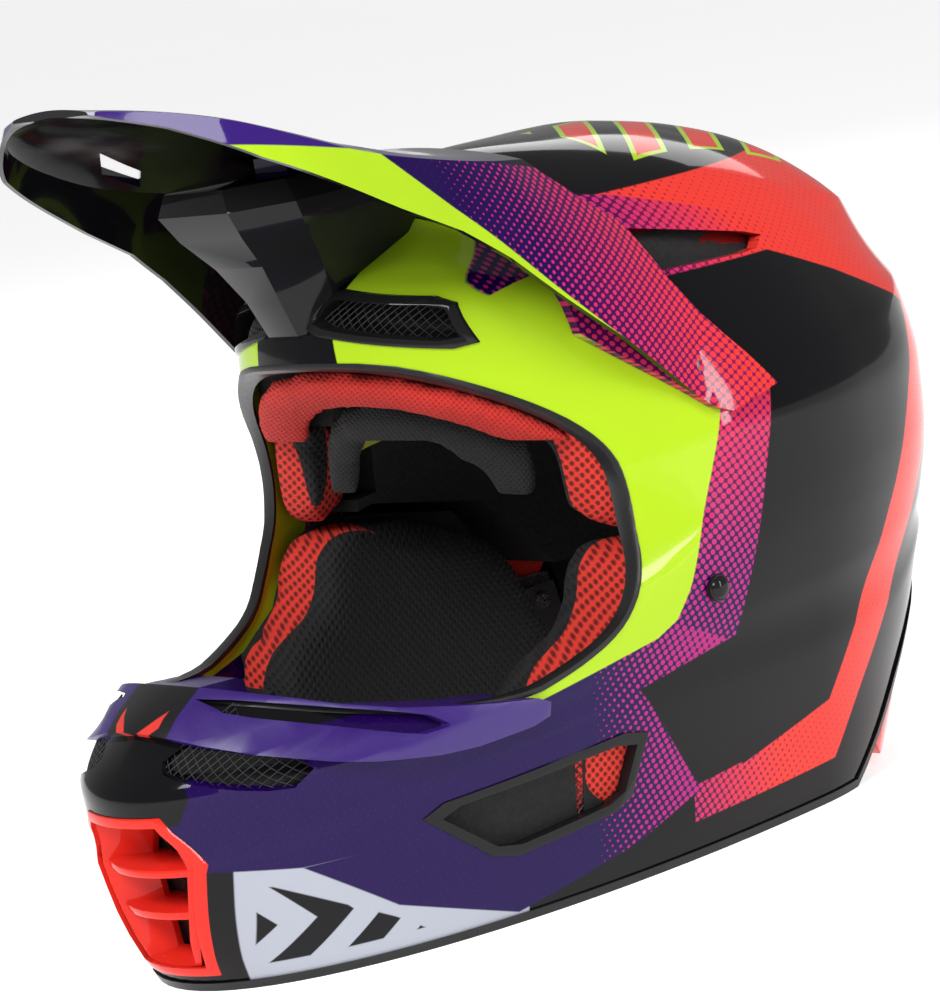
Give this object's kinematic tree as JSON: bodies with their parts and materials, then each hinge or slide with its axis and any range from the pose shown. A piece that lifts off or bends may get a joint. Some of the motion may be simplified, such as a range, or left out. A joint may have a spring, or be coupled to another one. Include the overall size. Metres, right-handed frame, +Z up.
{
  "type": "motocross helmet",
  "caption": "Full-face motocross helmet with a long upswept visor, open eyeport, padded liner, D-ring chin strap and vented chin bar, in black, yellow-green, purple and red.",
  "frame": {"origin": "on the table under the middle of the helmet's box, as it rests on its bottom rim", "axes": "+X to the wearer's left, -Y towards the face opening and visor tip, +Z up"},
  "size_m": [0.238, 0.3958, 0.306],
  "materials": {
    "painted_shell": "gloss",
    "visor_plastic": "gloss",
    "gloss_black": "gloss",
    "black_rubber": "satin",
    "purple_rubber": "satin",
    "red_plastic": "gloss",
    "black_mesh": "satin",
    "black_plastic": "satin",
    "slip_plastic": "satin",
    "energy_foam": "matte",
    "filter_foam": "matte",
    "red_fabric": "matte",
    "black_fabric": "matte",
    "webbing": "matte",
    "steel": "satin"
  },
  "bodies": {
    "shell": {"bottom_trim": "black_rubber", "brow_duct": "gloss_black", "brow_pad": "red_fabric", "brow_vent_bezels": "gloss_black", "brow_vent_meshes": "black_mesh", "chin_energy_liner": "energy_foam", "chin_strap_long": "webbing", "chin_strap_short": "webbing", "chin_top_meshes": "black_mesh", "chin_vent_bezels": "gloss_black", "chin_vent_meshes": "black_mesh", "crown_energy_liner": "energy_foam", "crown_slot_inserts": "gloss_black", "dust_filter": "filter_foam", "eyeport_trim": "black_rubber", "mouth_frame": "red_plastic", "mouth_mesh": "black_mesh", "mouth_ribs": "red_plastic", "neck_roll": "black_fabric", "nose_guard": "purple_rubber", "outer_shell": "painted_shell", "rear_lip": "red_plastic", "rear_vent_grille": "black_mesh", "rear_vent_housing": "gloss_black", "shell_magnets": "steel", "side_energy_liner_left": "energy_foam", "side_energy_liner_right": "energy_foam", "side_screws": "black_plastic", "slip_anchors": "black_rubber", "snap_sockets_left": "black_plastic", "snap_sockets_right": "black_plastic", "strap_anchor_plates": "steel", "strap_rivets": "steel", "strap_sleeves": "black_fabric", "strap_snap_button": "steel", "temple_pad_left": "red_fabric", "temple_pad_right": "red_fabric"},
    "liner": {"slip_liner": "slip_plastic", "crown_comfort_pad": "black_fabric"},
    "visor": {"visor": "visor_plastic", "visor_magnets": "steel"},
    "cheek_left": {"cheek_plate_left": "black_plastic", "cheek_pad_left": "red_fabric"},
    "cheek_right": {"cheek_plate_right": "black_plastic", "cheek_pad_right": "red_fabric"},
    "ring_lower": {"d_ring_lower": "steel"},
    "ring_upper": {"d_ring_upper": "steel"}
  },
  "joints": [
    {"name": "visor_release", "type": "slide", "parent": "shell", "child": "visor", "axis": [0, -0.6, 0.8], "range_m": [0, 0.06]},
    {"name": "cheek_left_snap", "type": "slide", "parent": "shell", "child": "cheek_left", "axis": [-1, 0, 0], "range_m": [0, 0.025]},
    {"name": "cheek_right_snap", "type": "slide", "parent": "shell", "child": "cheek_right", "axis": [1, 0, 0], "range_m": [0, 0.025]},
    {"name": "liner_turn", "type": "hinge", "parent": "shell", "child": "liner", "pos_m": [0, 0.0546, 0.2], "axis": [0, 0, 1], "range_deg": [-2.5, 2.5]},
    {"name": "ring_lower_swing", "type": "hinge", "parent": "shell", "child": "ring_lower", "pos_m": [0.039, 0.0976, 0.008], "axis": [0, 1, 0], "range_deg": [-12, 2]},
    {"name": "ring_upper_swing", "type": "hinge", "parent": "shell", "child": "ring_upper", "pos_m": [0.039, 0.0976, 0.0135], "axis": [0, 1, 0], "range_deg": [-2, 40]}
  ]
}
